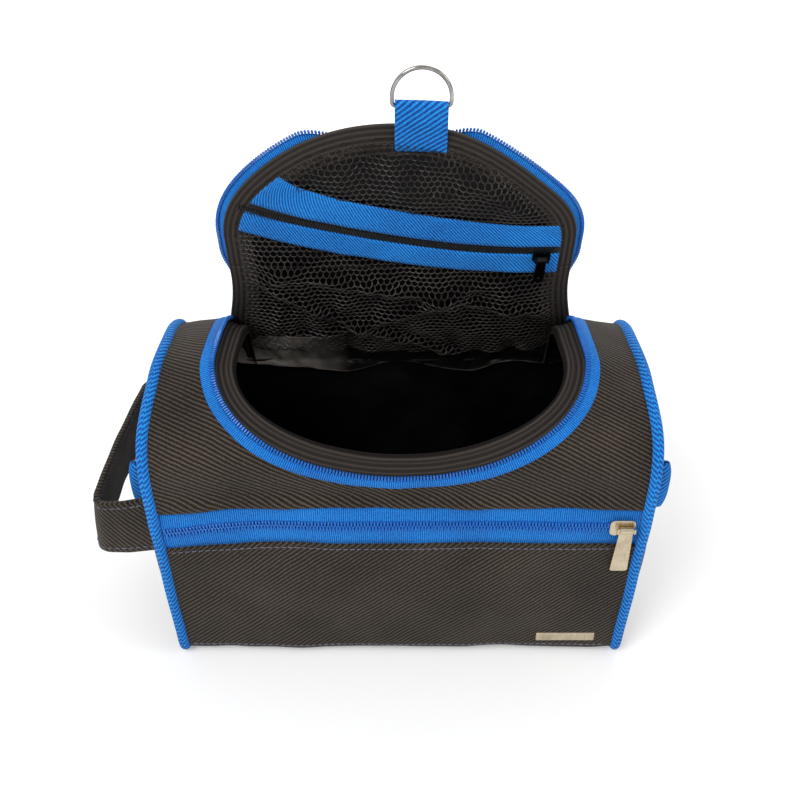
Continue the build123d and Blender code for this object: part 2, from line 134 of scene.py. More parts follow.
# Case cloth: a heavy charcoal twill, cut in panels and sewn into a case with a round top. It is slack
# between its seams, so it swells on the walls, sags at the ends of the top and creases along the zips.
# A place on the case is x along it and t round it from the crest, positive to the front, in mm.
round_radius = 65.0
spring_height = 111.0
foot_radius = 10.0
panel_half = 124.6
swell_at = (0, 30, 72, 112, 150, 212, 300)
swell_by = (0.982, 0.99, 1.014, 1.004, 0.99, 0.970, 0.967)
swell_length = 262.0
floor_gap = 0.2
arc_end = round_radius * math.pi / 2
wall_end = arc_end + spring_height - foot_radius
foot_end = wall_end + foot_radius * math.pi / 2
base_middle = foot_end + round_radius - foot_radius


def share_of(value, start, end):
    """How far the value is on the way from start to end, from 0 to 1."""
    return min(max((value - start) / (end - start), 0), 1)


def eased(value, start, end):
    """The same share, which leaves 0 and reaches 1 gently."""
    part = share_of(value, start, end)
    return part * part * (3 - 2 * part)


def between(value, places, values):
    """The value of a smooth curve through a few places."""
    if value <= places[0]:
        return values[0]
    for k in range(1, len(places)):
        if value <= places[k]:
            part = eased(value, places[k - 1], places[k])
            return values[k - 1] + (values[k] - values[k - 1]) * part
    return values[-1]


def bell(x, y, width, height):
    """A round bump of height 1, this far from its middle."""
    return math.exp(-((x / width) ** 2) - (y / height) ** 2)


def ridge(distance, width):
    """A long bump of height 1, this far from its middle line."""
    return math.exp(-((distance / width) ** 2))


def section(t):
    """The case's outline from the end at t: y, z, and the direction outwards."""
    s = abs(t)
    if s <= arc_end:
        a = s / round_radius
        y, z = -round_radius * math.sin(a), spring_height + round_radius * math.cos(a)
        ny, nz = -math.sin(a), math.cos(a)
    elif s <= wall_end:
        y, z, ny, nz = -round_radius, spring_height - (s - arc_end), -1.0, 0.0
    elif s <= foot_end:
        a = (s - wall_end) / foot_radius
        y = -(round_radius - foot_radius) - foot_radius * math.cos(a)
        z, ny, nz = foot_radius - foot_radius * math.sin(a), -math.cos(a), -math.sin(a)
    else:
        y, z, ny, nz = -(round_radius - foot_radius) + (s - foot_end), 0.0, 0.0, -1.0
    return (y, z, ny, nz) if t >= 0 else (-y, z, -ny, nz)


def slack(x, t):
    """How far the soft cloth stands out from its cut shape, in mm."""
    spot = Vector((x / 42, t / 34, 1.7))
    along = math.cos(math.pi * x / swell_length)
    groove = 0.7 + 0.5 * noise.noise(Vector((x / 30, 4, 9)))
    turned_edge = 1.3 + 2.4 * noise.noise(Vector((x / 24, 2, 6)))
    # The whole cloth is uneven, and the pocket below the front zip swells.
    out = 1.3 * noise.noise(spot) + 0.55 * noise.noise(2.6 * spot)
    out += 3.0 * math.sin(math.pi * share_of(t, 124, 212)) * along
    # The cloth sinks above the front zip, and stands up again on both sides of that groove.
    out -= 2.6 * ridge(t - 96, 7) * groove
    out += 1.2 * ridge(t - 78, 9)
    out += turned_edge * ridge(t - 103, 3.2)
    # It is dented beside the mouth's corners and left of the zip's middle, and the back wall swells.
    out -= 3.2 * bell(x + 96, t - 52, 13, 20) + 2.2 * bell(x - 100, t - 60, 12, 18)
    out -= 1.6 * bell(x + 30, t - 100, 30, 5)
    out += 2.6 * math.sin(math.pi * share_of(-t, 110, 205)) * along
    # It lies flat under the name plate and the front slider, along the end seams and on the base.
    calm = 1 - bell(x - 93, t - 199, 28, 11) - bell(x - 114, t - 117, 12, 16)
    calm *= 1 - ridge(abs(x) - panel_half, 7)
    calm *= share_of(foot_end - abs(t), 0, 8)
    return out * max(0, calm)


def droop(x, t):
    """How far the top sinks towards its ends, in mm."""
    return (7.5 if x > 0 else 6.5) * eased(abs(x), 84, 126) * ridge(t, 52)


def zip_dip(x, t):
    """How far the front zip hangs down towards the ends, in mm."""
    left, right = share_of(-x, 60, 126), share_of(x, 60, 126)
    return (6.0 * left**2 + 2.2 * right**3) * ridge(t - 118, 26)


def on_case(x, t, depth=0.0):
    """The place at x and t, this deep under the cut shape, in metres."""
    y, z, ny, nz = section(t + zip_dip(x, t))
    out = slack(x, t) - depth
    z -= droop(x, t)
    wide = x * between(abs(t), swell_at, swell_by)
    return Vector((wide, y + ny * out, max(z + nz * out, floor_gap))) / 1000


def finish_piece(bm, name, thickness=0.0, offset=-1):
    """Makes the mesh an object, with a wall in mm under its face, or round it where the offset is 0."""
    mesh = bpy.data.meshes.new(name)
    bm.to_mesh(mesh)
    bm.free()
    piece = bpy.data.objects.new(name, mesh)
    scene.collection.objects.link(piece)
    if thickness:
        wall = piece.modifiers.new("thickness", "SOLIDIFY")
        wall.thickness = thickness / 1000
        wall.offset = offset
    return piece


def cloth_sheet(name, columns, rows, cut, hang, thickness=1.2, facing=None, offset=-1):
    """A sheet whose flat cut is cut(u, v) in mm, hung in place by hang(a, b), with the cut as its UV map."""
    bm = bmesh.new()
    bmesh.ops.create_grid(bm, x_segments=columns, y_segments=rows, size=0.5)
    flat = {v: cut(v.co.x + 0.5, v.co.y + 0.5) for v in bm.verts}
    uv = bm.loops.layers.uv.new("flat_cut")
    for face in bm.faces:
        face.smooth = True
        for loop in face.loops:
            loop[uv].uv = (flat[loop.vert][0] / 1000, flat[loop.vert][1] / 1000)
    for v in bm.verts:
        v.co = hang(*flat[v])
    bm.normal_update()
    case_middle = Vector((0, 0, 0.09))
    wanted = [facing or (f.calc_center_median() - case_middle) for f in bm.faces]
    if sum(f.normal.dot(w) * f.calc_area() for f, w in zip(bm.faces, wanted)) < 0:
        bmesh.ops.reverse_faces(bm, faces=bm.faces)
    return finish_piece(bm, name, thickness, offset)


def dress(piece, finish, slot, *nodes):
    """Gives a piece its finish, and puts it in the place of these solids. The slot is not used."""
    piece.data.materials.append(finish)
    if nodes:
        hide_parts(*nodes)


def sew_to_case(piece, finish, slot, *nodes):
    dress(piece, finish, slot, *nodes)
    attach(piece, "case")


def declare_cut(piece):
    """Works out the width, length and area of a piece's flat cut in metres, and keeps none of them."""
    cut = piece.data.uv_layers["flat_cut"].data
    area = 0
    for face in piece.data.polygons:
        ring = [cut[k].uv for k in face.loop_indices]
        area += 0.5 * abs(sum(p.x * q.y - q.x * p.y for p, q in zip(ring, ring[1:] + ring[:1])))
    across, along = zip(*(tuple(corner.uv) for corner in cut))
    width, length = max(across) - min(across), max(along) - min(along)
    least_share = 0.301
    area = min(max(area, least_share * width * length), width * length)


def new_finish(name, roughness, metallic=0.0):
    """A new material, its shader, its node tree and its coordinates."""
    finish = bpy.data.materials.new(name)
    finish.use_nodes = True
    tree = finish.node_tree
    shader = tree.nodes["Principled BSDF"]
    shader.inputs["Roughness"].default_value = roughness
    shader.inputs["Metallic"].default_value = metallic
    return finish, shader, tree, tree.nodes.new("ShaderNodeTexCoord").outputs


def math_node(tree, operation, first, second=None):
    node = tree.nodes.new("ShaderNodeMath")
    node.operation = operation
    for socket, value in zip(node.inputs, (first, second)):
        if isinstance(value, (int, float)):
            socket.default_value = value
        elif value is not None:
            tree.links.new(value, socket)
    return node.outputs[0]


def plus(tree, first, second):
    return math_node(tree, "ADD", first, second)


def minus(tree, first, second):
    return math_node(tree, "SUBTRACT", first, second)


def times(tree, first, second):
    return math_node(tree, "MULTIPLY", first, second)


def wave(tree, value, length):
    """A sine with this wavelength in metres."""
    return math_node(tree, "SINE", times(tree, value, 2 * math.pi / length))


def split_axes(tree, vector):
    axes = tree.nodes.new("ShaderNodeSeparateXYZ")
    tree.links.new(vector, axes.inputs[0])
    return axes.outputs


def paint(tree, shader, value, *stops):
    """Colours the shader by the value, through stops that are each a place and a colour."""
    ramp = tree.nodes.new("ShaderNodeValToRGB")
    tree.links.new(value, ramp.inputs[0])
    while len(ramp.color_ramp.elements) < len(stops):
        ramp.color_ramp.elements.new(0.5)
    for element, (place, colour) in zip(ramp.color_ramp.elements, stops):
        element.position = place
        element.color = (*colour, 1)
    tree.links.new(ramp.outputs[0], shader.inputs["Base Color"])


def raise_bump(tree, shader, height, depth, strength=1.0):
    bump = tree.nodes.new("ShaderNodeBump")
    bump.inputs["Strength"].default_value = strength
    bump.inputs["Distance"].default_value = depth
    tree.links.new(height, bump.inputs["Height"])
    tree.links.new(bump.outputs[0], shader.inputs["Normal"])


def cloth_noise(tree, coordinates, scale, detail):
    cloud = tree.nodes.new("ShaderNodeTexNoise")
    cloud.inputs["Scale"].default_value = scale
    cloud.inputs["Detail"].default_value = detail
    tree.links.new(coordinates, cloud.inputs["Vector"])
    return cloud.outputs["Fac"]


def twill(name, dark, middle, light, slant, pitch, depth=0.0005):
    """Ribbed twill: its ribs run at this slant to the piece's length, each a row of short slanted yarns."""
    yarn_length = 0.62 * pitch
    yarn_lean = 0.75
    finish, shader, tree, place = new_finish(name, 0.82)
    turn = tree.nodes.new("ShaderNodeMapping")
    turn.inputs["Rotation"].default_value[2] = math.radians(-slant)
    tree.links.new(place["UV"], turn.inputs["Vector"])
    axes = split_axes(tree, turn.outputs[0])
    wobble = times(tree, cloth_noise(tree, place["UV"], 90, 3), 0.0009)
    across = plus(tree, axes["Y"], wobble)
    rib = wave(tree, across, pitch)
    lean = times(tree, across, 2 * math.pi / pitch * yarn_lean)
    yarn = math_node(tree, "SINE", plus(tree, times(tree, axes["X"], 2 * math.pi / yarn_length), lean))
    height = plus(tree, plus(tree, times(tree, rib, 0.34), times(tree, yarn, 0.09)), 0.5)
    mottle = minus(tree, cloth_noise(tree, place["UV"], 700, 2), 0.5)
    patch = minus(tree, cloth_noise(tree, place["UV"], 22, 3), 0.5)
    # Painted light and shade: the rib tops are painted lighter and the grooves darker, under a random mottle
    # and patches of the cloth's own tone.
    shade = plus(tree, height, times(tree, mottle, 0.55))
    shade = plus(tree, shade, times(tree, patch, 0.5))
    paint(tree, shader, shade, (0.1, dark), (0.5, middle), (0.95, light))
    raise_bump(tree, shader, height, depth)
    shader.inputs["Specular IOR Level"].default_value = 0.2
    shader.inputs["Sheen Weight"].default_value = 0.08
    shader.inputs["Sheen Roughness"].default_value = 0.5
    return finish


# Each set runs from the painted shade in the grooves, through the cloth's own colour, to the painted light on
# the rib tops.
charcoal = ((0.005, 0.0036, 0.0025), (0.024, 0.0178, 0.0127), (0.100, 0.077, 0.057))
rising_twill = twill("charcoal_twill_rising", *charcoal, slant=-37, pitch=0.0021)
falling_twill = twill("charcoal_twill_falling", *charcoal, slant=27, pitch=0.0021)

# Top panel: one panel of twill with the wide mouth cut in it, sewn in along the ends and the front zip.
# The mouth's sides run straight up from the hinge, and its front is a long oval that reaches down the
# front of the case. Its angles are in degrees round the top, up from the level of the back.
mouth_half = 104.0
hinge_angle = 13.0
oval_angle = 105.0
front_angle = 173.0
oval_tilt = math.radians(30)
mouth_steps = 90
zip_height = 96.0
zip_half = 11.8
pocket_zip_t = arc_end + spring_height - zip_height
top_panel_front = pocket_zip_t - zip_half


def round_top(angle):
    """The place t at an angle round the top."""
    return math.radians(angle - 90) * round_radius


mouth_back, mouth_turn, mouth_front = round_top(hinge_angle), round_top(oval_angle), round_top(front_angle)


def mouth_outline():
    """Points round the mouth from the right side of the hinge, by the front, to the left side."""
    side = mouth_turn - mouth_back
    points = [(mouth_half, mouth_back + side * k / mouth_steps) for k in range(mouth_steps)]
    top = round_radius * math.sin(math.radians(oval_angle) + oval_tilt)
    low = round_radius * math.sin(math.radians(front_angle) + oval_tilt)
    for k in range(mouth_steps + 1):
        b = math.pi / 2 * k / mouth_steps
        across = top - (top - low) * math.sin(b)
        angle = math.pi - oval_tilt - math.asin(across / round_radius)
        points.append((mouth_half * math.cos(b), (angle - math.pi / 2) * round_radius))
    return points + [(-x, t) for x, t in reversed(points[:-1])]


def measured(points):
    """A line of points with the distance along it to each, to be looked up by a share of its length."""
    lengths = [0.0]
    for (ax, ay), (bx, by) in zip(points, points[1:]):
        lengths.append(lengths[-1] + math.hypot(bx - ax, by - ay))
    return points, lengths


def along_line(line, share, inset=0.0):
    """The point at a share of the line's length, moved to its left by inset."""
    points, lengths = line
    wanted = min(max(share, 0), 1) * lengths[-1]
    low, high = 0, len(lengths) - 1
    while high - low > 1:
        half = (low + high) // 2
        low, high = (half, high) if lengths[half] <= wanted else (low, half)
    part = (wanted - lengths[low]) / (lengths[high] - lengths[low])
    first, second = max(low - 1, 0), min(high + 1, len(points) - 1)
    dx, dy = points[second][0] - points[first][0], points[second][1] - points[first][1]
    size = math.hypot(dx, dy)
    x = points[low][0] + part * (points[high][0] - points[low][0])
    y = points[low][1] + part * (points[high][1] - points[low][1])
    return x - dy / size * inset, y + dx / size * inset


mouth_line = measured(mouth_outline())
mouth_length = mouth_line[1][-1]


def top_cut(reach_x, reach_t):
    """The cut of the top panel: rows run from the mouth's edge out to the seams."""
    tiny = 1e-6

    def cut(u, v):
        x, t = along_line(mouth_line, u)
        if t < mouth_turn:
            end = (math.copysign(reach_x, x), t)
        else:
            stretch = min(reach_x / max(abs(x), tiny), (reach_t - mouth_turn) / max(t - mouth_turn, tiny))
            end = (x * stretch, mouth_turn + (t - mouth_turn) * stretch)
        return x + (end[0] - x) * v, t + (end[1] - t) * v

    return cut


top_panel = cloth_sheet("top_panel_cloth", 360, 26, top_cut(panel_half, top_panel_front), on_case)
sew_to_case(top_panel, falling_twill, "twill", "top_panel", "wall_padding")
declare_cut(top_panel)

# Lower panels: the front pocket's panel below its zip, the back panel and the base,
# each a plain twill rectangle that swells a little between its seams.
pocket_top = pocket_zip_t + zip_half
downwards = Vector((0, 0, -1))


def plain_cut(low_t, high_t):
    return lambda u, v: (panel_half * (2 * u - 1), low_t + (high_t - low_t) * v)


pocket_panel = cloth_sheet("front_pocket_cloth", 130, 60, plain_cut(pocket_top, foot_end), on_case)
sew_to_case(pocket_panel, rising_twill, "twill", "front_pocket_panel", "front_pocket_liner")
back_panel = cloth_sheet("back_panel_cloth", 130, 80, plain_cut(-foot_end, mouth_back + 1), on_case)
sew_to_case(back_panel, rising_twill, "twill", "back_panel")
base_cut = plain_cut(foot_end, 2 * base_middle - foot_end)
base = cloth_sheet("base_cloth", 60, 40, base_cut, on_case, facing=downwards)
sew_to_case(base, rising_twill, "twill", "bottom_panel", "base_board")
for panel in (pocket_panel, back_panel, base):
    declare_cut(panel)

# End panels: twill over thick foam, sewn in behind the piping. Each swells outwards in a low dome.
# It is made of rings from the seam in to a middle point, and its UV map is the panel seen from the end.
ends = ((-1, "left"), (1, "right"))
case_half = 127.0
end_middle = Vector((0, 0, 88))
end_inset = 3.0
end_foot = 3.0
end_rise = 10.0
end_rise_low = 3.5
end_rise_at = 62.0
end_gap = 0.6
ring_spacing = 0.8


def on_end(side, t, share):
    """The place on an end panel at this share of the way from its middle out to the seam at t."""
    y, z, ny, nz = section(t)
    edge = Vector((0, y - ny * end_inset, max(z - nz * end_inset - droop(case_half, t), end_foot)))
    place = end_middle + (edge - end_middle) * share
    wide = case_half * between(abs(t), swell_at, swell_by)
    wide = wide * share**2 + case_half * 0.985 * (1 - share**2)
    rise = (end_rise + end_rise_low * bell(0, place.z - end_rise_at, 1, 42)) * (1 - share**5)
    rise += 0.9 * noise.noise(place / 30 + Vector((side * 5, 0, 0))) * (1 - share)
    return Vector((side * (wide + end_gap + rise), place.y, place.z)) / 1000


for side, name in ends:
    bm = bmesh.new()
    bmesh.ops.create_grid(bm, x_segments=160, y_segments=26, size=0.5)
    for v in bm.verts:
        v.co = on_end(side, 2 * base_middle * v.co.x, max(0.5 - v.co.y, 0) ** ring_spacing)
    uv = bm.loops.layers.uv.new("flat_cut")
    for face in bm.faces:
        face.smooth = True
        for loop in face.loops:
            loop[uv].uv = (loop.vert.co.y, loop.vert.co.z)
    bmesh.ops.remove_doubles(bm, verts=bm.verts, dist=0.00002)
    bm.normal_update()
    if sum(f.normal.x * side * f.calc_area() for f in bm.faces) < 0:
        bmesh.ops.reverse_faces(bm, faces=bm.faces)
    end_panel = finish_piece(bm, f"{name}_end_cloth", 1.2)
    sew_to_case(end_panel, rising_twill, "twill", f"{name}_end_panel", f"{name}_end_padding")

# Piping: a soft cord wrapped in bright blue twill, cut on the bias, and sewn into the seam
# all round each end of the case.
piping_radius = 3.1
piping_sunk = 0.9
piping_floor = 3.0
# Its dark and light colours are the painted shade in the grooves and the painted light on the rib tops.
blue = ((0.002, 0.040, 0.20), (0.005, 0.165, 0.60), (0.026, 0.34, 0.88))
piping_cloth = twill("blue_twill_piping", *blue, slant=52, pitch=0.0022)


def piping_cut(u, v):
    return 2 * base_middle * u, 2 * math.pi * piping_radius * v


for side, name in ends:

    def piping(a, b):
        t = a - base_middle
        y, z, ny, nz = section(t)
        z -= droop(side * case_half, t)
        out = -piping_sunk + piping_radius * math.cos(b / piping_radius)
        sideways = side * piping_radius * math.sin(b / piping_radius)
        on_floor = abs(t) > wall_end and z < piping_floor
        wide = side * case_half * between(abs(t), swell_at, swell_by)
        centre = Vector((wide, y, max(z, piping_radius)))
        return (centre + Vector((sideways, ny * out, 0 if on_floor else nz * out))) / 1000

    cord = cloth_sheet(f"{name}_piping_cord", 340, 14, piping_cut, piping, 0)
    bm = bmesh.new()
    bm.from_mesh(cord.data)
    bmesh.ops.remove_doubles(bm, verts=bm.verts, dist=0.00002)
    bmesh.ops.recalc_face_normals(bm, faces=bm.faces)
    bm.to_mesh(cord.data)
    bm.free()
    sew_to_case(cord, piping_cloth, "blue_tape", f"{name}_piping")

# Main zip on the case: blue woven tape sewn round the mouth, with its row of nylon coils
# along the inner edge.
tape_width = 5.6
tape_tuck = 1.2
coil_pitch = 1.7
coil_step = 0.002
coil_round = 0.0003
tooth = (0.00105, 0.0024, 0.0019)
# Its dark and light colours are the painted shade in the grooves and the painted light on the rib tops.
tape_blue = ((0.002, 0.04, 0.20), (0.005, 0.155, 0.58), (0.022, 0.30, 0.82))
blue_tape = twill("blue_zip_tape", *tape_blue, slant=90, pitch=0.0011, depth=0.00015)


def plastic(name, colour, roughness):
    finish, shader, tree, place = new_finish(name, roughness)
    grain = cloth_noise(tree, place["Object"], 900, 2)
    darker = tuple(0.7 * part for part in colour)
    paint(tree, shader, grain, (0.3, darker), (0.7, colour))
    raise_bump(tree, shader, grain, 0.00005)
    return finish


blue_coil = plastic("blue_coil_nylon", (0.008, 0.16, 0.62), 0.28)


def mouth_cut(start, width):
    return lambda u, v: (mouth_length * u, start + width * v)


def mouth_tape(a, b):
    x, t = along_line(mouth_line, a / mouth_length, b)
    return on_case(x, t, 0.1 - 0.5 * math.sin(math.pi * min(b / tape_width, 1)))


def bar_place(here, ahead, beside):
    """A bar's middle, the way its row runs and the way outwards, from a point beside it on the surface."""
    return here, ahead, ahead.cross(beside - here)


def row_of_bars(name, places, size, roundness, finish, slot, *nodes):
    """A row of short rounded bars, one at each place."""
    bm = bmesh.new()
    for point, ahead, out in places:
        across = out.cross(ahead).normalized()
        ahead = across.cross(out).normalized()
        turn = Matrix((ahead * size[0], across * size[1], out.normalized() * size[2])).transposed().to_4x4()
        bmesh.ops.create_cube(bm, size=1.0, matrix=Matrix.Translation(point) @ turn)
    bmesh.ops.bevel(bm, geom=bm.edges, offset=roundness, segments=1, affect="EDGES", profile=0.5, material=-1)
    row = finish_piece(bm, name)
    dress(row, finish, slot, *nodes)
    return row


def teeth_round_mouth(inset, depth):
    """The places of the coils round the mouth, this far in from its edge and under the cut shape."""
    places = []
    count = int(mouth_length / coil_pitch)
    for k in range(count):
        share = (k + 0.5) / count
        here = on_case(*along_line(mouth_line, share, inset), depth)
        there = on_case(*along_line(mouth_line, min(share + coil_step, 1), inset), depth)
        before = on_case(*along_line(mouth_line, max(share - coil_step, 0), inset), depth)
        inner = on_case(*along_line(mouth_line, share, inset + 1), depth)
        places.append(bar_place(here, there - before, inner))
    return places


case_tape_cut = mouth_cut(-tape_tuck, tape_width + tape_tuck)
case_tape = cloth_sheet("mouth_zip_tape", 300, 6, case_tape_cut, mouth_tape, 0.9)
sew_to_case(case_tape, blue_tape, "blue_tape", "main_zip_tape")
teeth_places = teeth_round_mouth(tape_width + 0.9, 0.1)
case_teeth = row_of_bars(
    "mouth_zip_teeth", teeth_places, tooth, coil_round, blue_coil, "blue_coil", "main_zip_coil"
)
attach(case_teeth, "case")

# Zip tails: on the back wall, the zip runs on at each side as closed zip, with both tapes
# stitched down flat.
tail_x = 96.3
tail_half = 7.5
tail_foot_height = 77.0
tail_low = -(arc_end + spring_height - tail_foot_height)
tail_high = mouth_back + 5
tail_tooth = (0.00105, 0.0044, 0.0021)
for side, name in ends:

    def tail_hang(a, b):
        weave = 0.3 * math.cos((a - side * tail_x) / 2.4)
        return on_case(a / between(abs(b), swell_at, swell_by), b, -0.5 - weave)

    def tail_cut(u, v):
        return side * tail_x + tail_half * (2 * u - 1), tail_low + (tail_high - tail_low) * v

    tail_tape = cloth_sheet(f"{name}_tail_tape", 14, 44, tail_cut, tail_hang, 0.8)
    sew_to_case(tail_tape, blue_tape, "blue_tape")
    declare_cut(tail_tape)
    tail_places = []
    for k in range(int((tail_high - tail_low - 3) / coil_pitch)):
        t = tail_low + 2 + coil_pitch * k
        here, ahead, beside = (tail_hang(side * tail_x + dx, t + dt) for dx, dt in ((0, 0), (0, 1), (1, 0)))
        tail_places.append(bar_place(here, ahead - here, beside))
    tail_teeth = row_of_bars(
        f"{name}_tail_teeth", tail_places, tail_tooth, coil_round, blue_coil, "blue_coil"
    )
    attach(tail_teeth, "case")

# Mouth facing: black ribbed tape that binds the inner edge of the mouth behind the zip.
# It is folded over, so its inner edge is a round lip.
facing_width = 13.0
facing_depth = 1.6
facing_slope = 0.56
lip_height = 2.0
ribs = 5
thread_pitch = 0.0008


def ribbed(name, width):
    """Ribbed grosgrain: fine cross threads over a few ribs that run along the tape."""
    finish, shader, tree, place = new_finish(name, 0.7)
    axes = split_axes(tree, place["UV"])
    rib = wave(tree, axes["Y"], width / ribs / 1000)
    thread = wave(tree, axes["X"], thread_pitch)
    height = plus(tree, plus(tree, times(tree, rib, 0.4), times(tree, thread, 0.1)), 0.5)
    # Painted light and shade: the rib tops are painted lighter and the grooves between the ribs and threads
    # darker.
    paint(tree, shader, height, (0.15, (0.010, 0.0075, 0.006)), (0.95, (0.055, 0.043, 0.035)))
    raise_bump(tree, shader, height, 0.0005)
    shader.inputs["Specular IOR Level"].default_value = 0.25
    return finish


def rib_height(share):
    """How high the ribs stand at this share of the tape's width."""
    return 0.35 * abs(math.sin(math.pi * ribs * share))


def facing_hang(a, b):
    x, t = along_line(mouth_line, a / mouth_length, tape_width - 1 + b)
    lip = lip_height * ridge(b - facing_width + 2.2, 2.4)
    fold = 1.6 * max(0, b - facing_width + 1.2)
    return on_case(x, t, facing_depth + facing_slope * b - rib_height(b / facing_width) - lip + fold)


facing_cloth = ribbed("black_ribbed_facing", facing_width)
facing = cloth_sheet("mouth_facing", 300, 40, mouth_cut(0, facing_width), facing_hang, 0.8)
sew_to_case(facing, facing_cloth, "webbing", "mouth_binding")
declare_cut(facing)

# Lining: thin black satin, loose and creased, which covers the inside of the case. One piece lies on the
# front, the base and the back, another under the top panel, and one on each end.
lining_half = 121.5
lining_low, lining_high = mouth_front - 14, 2 * base_middle - mouth_front + 8


def satin(name, dark, light):
    finish, shader, tree, place = new_finish(name, 0.38)
    fold = cloth_noise(tree, place["Object"], 26, 5)
    grain = cloth_noise(tree, place["Object"], 1500, 1)
    # Painted sheen: the satin is painted lighter where its folds stand up, from the same noise that raises
    # them as bumps.
    paint(tree, shader, fold, (0.3, dark), (0.7, light))
    raise_bump(tree, shader, plus(tree, fold, times(tree, grain, 0.02)), 0.004, 0.6)
    shader.inputs["Specular IOR Level"].default_value = 0.16
    return finish


black_satin = satin("black_satin", (0.0012, 0.001, 0.001), (0.006, 0.0052, 0.005))


def lining_cut(u, v):
    return lining_half * (2 * u - 1), lining_low + (lining_high - lining_low) * v


def lining_hang(a, b):
    """Past the middle of the base, the lining goes on up the back."""
    t = b if b <= base_middle else b - 2 * base_middle
    crease = 2.2 * noise.noise(Vector((a / 26, t / 24, 8)))
    crease += 1.1 * abs(noise.noise(Vector((a / 11, t / 12, 3))))
    y, z, ny, nz = section(t)
    out = -5.5 - abs(crease)
    wide = a * between(abs(t), swell_at, swell_by)
    return Vector((wide, y + ny * out, z + nz * out - droop(a, t))) / 1000


lining = cloth_sheet("case_lining", 120, 150, lining_cut, lining_hang, 0.5)
sew_to_case(lining, black_satin, "lining", "lining")
declare_cut(lining)
top_lining_cut = top_cut(lining_half, mouth_front + 9)
top_lining = cloth_sheet("top_lining", 200, 12, top_lining_cut, lambda a, b: on_case(a, b, 4.6), 0.4)
sew_to_case(top_lining, black_satin, "lining")
declare_cut(top_lining)
for side, name in ends:

    def end_lining(t, share):
        y, z, ny, nz = section(t)
        edge = Vector((0, y - ny * 5, max(z - nz * 5 - droop(case_half, t), 5.5)))
        place = end_middle + (edge - end_middle) * share
        wide = lining_half * (between(abs(t), swell_at, swell_by) * share**2 + 0.98 * (1 - share**2))
        return Vector((side * (wide - 1.5 * abs(noise.noise(place / 18))), place.y, place.z)) / 1000

    def end_lining_rings(u, v):
        return base_middle * (2 * u - 1), 1 - v

    inwards = Vector((-side, 0, 0))
    wall = cloth_sheet(f"{name}_end_lining", 90, 20, end_lining_rings, end_lining, 0.4, inwards)
    sew_to_case(wall, black_satin, "lining")

# Front pocket zip: blue tapes across the whole front, closed along two rows of coils,
# with the twill of the pocket turned under and stitched along its upper and lower edges.
pocket_tape_half = zip_half + 1.5
pocket_coil_depth = 0.55
pocket_row = 1.25
pocket_tooth = (0.00105, 0.0028, 0.0021)
pocket_teeth_start, pocket_teeth_count = -121.5, 142
stitch = (0.0024, 0.0005, 0.0005)
stitch_round = 0.00012
stitch_start, stitch_pitch, stitch_count = -120, 3.65, 66


def pocket_tape_hang(a, b):
    from_middle = abs(b - pocket_zip_t)
    seam = 0.8 * ridge(from_middle - zip_half, 1.8)
    return on_case(a, b, 0.9 - 0.5 * ridge(from_middle - 3.4, 1.2) + seam)


pocket_tape_cut = plain_cut(pocket_zip_t - pocket_tape_half, pocket_zip_t + pocket_tape_half)
pocket_tape = cloth_sheet("pocket_zip_tape", 130, 28, pocket_tape_cut, pocket_tape_hang, 0.8)
sew_to_case(pocket_tape, blue_tape, "blue_tape", "front_zip_tape")
declare_cut(pocket_tape)


def place_on_front(x, t, depth):
    here, there, down = on_case(x, t, depth), on_case(x + 1, t, depth), on_case(x, t + 1, depth)
    return bar_place(here, there - here, down)


tooth_places = []
for row in (-1, 1):
    for k in range(pocket_teeth_count):
        x = pocket_teeth_start + coil_pitch * (k + 0.25 * row)
        tooth_places.append(place_on_front(x, pocket_zip_t + pocket_row * row, pocket_coil_depth))
pocket_teeth = row_of_bars(
    "pocket_zip_teeth", tooth_places, pocket_tooth, coil_round, blue_coil, "blue_coil", "front_zip_coil"
)
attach(pocket_teeth, "case")


def thread(name, dark, light):
    finish, shader, tree, place = new_finish(name, 0.7)
    paint(tree, shader, cloth_noise(tree, place["Object"], 1200, 1), (0.3, dark), (0.7, light))
    return finish


stitch_thread = thread("grey_violet_thread", (0.07, 0.065, 0.10), (0.20, 0.19, 0.27))
stitch_places = []
for t in (pocket_top + 3.0, wall_end + 2):
    for k in range(stitch_count):
        stitch_places.append(place_on_front(stitch_start + stitch_pitch * k, t, -0.12))
pocket_stitches = row_of_bars(
    "pocket_stitches", stitch_places, stitch, stitch_round, stitch_thread, "webbing"
)
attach(pocket_stitches, "case")

# Lid: a soft padded flap of the same twill, sewn to the back wall, which arches back a little when open.
# Its outer cloth and its lining are each cut in two, and meet where neither of the lid's bends reaches.
# A place on the lid is x along the bag and s up from the hinge, and a level is how far it is to the inside.
hinge_radius = 64.5
hinge_up = math.radians(15)
hinge_y, hinge_z = hinge_radius * math.cos(hinge_up), spring_height + hinge_radius * math.sin(hinge_up)
lid_half = 96.6
lid_straight = 102.1
lid_length = 171.0
lid_middle_s = 85.0
lid_lean = 121.0
lid_arch = 24.0
lid_reach = 200
flaps_under = {"rear": ("rear",), "right": ("rear",), "left": (), "front": ("front", "middle")}
lid_line_y, lid_line_z, lid_slope = [hinge_y], [hinge_z], [lid_lean]
for k in range(1, lid_reach):
    slope = lid_lean - lid_arch * share_of(k, 28, 142)
    lid_line_y.append(lid_line_y[-1] + math.cos(math.radians(slope)))
    lid_line_z.append(lid_line_z[-1] + math.sin(math.radians(slope)))
    lid_slope.append(slope)


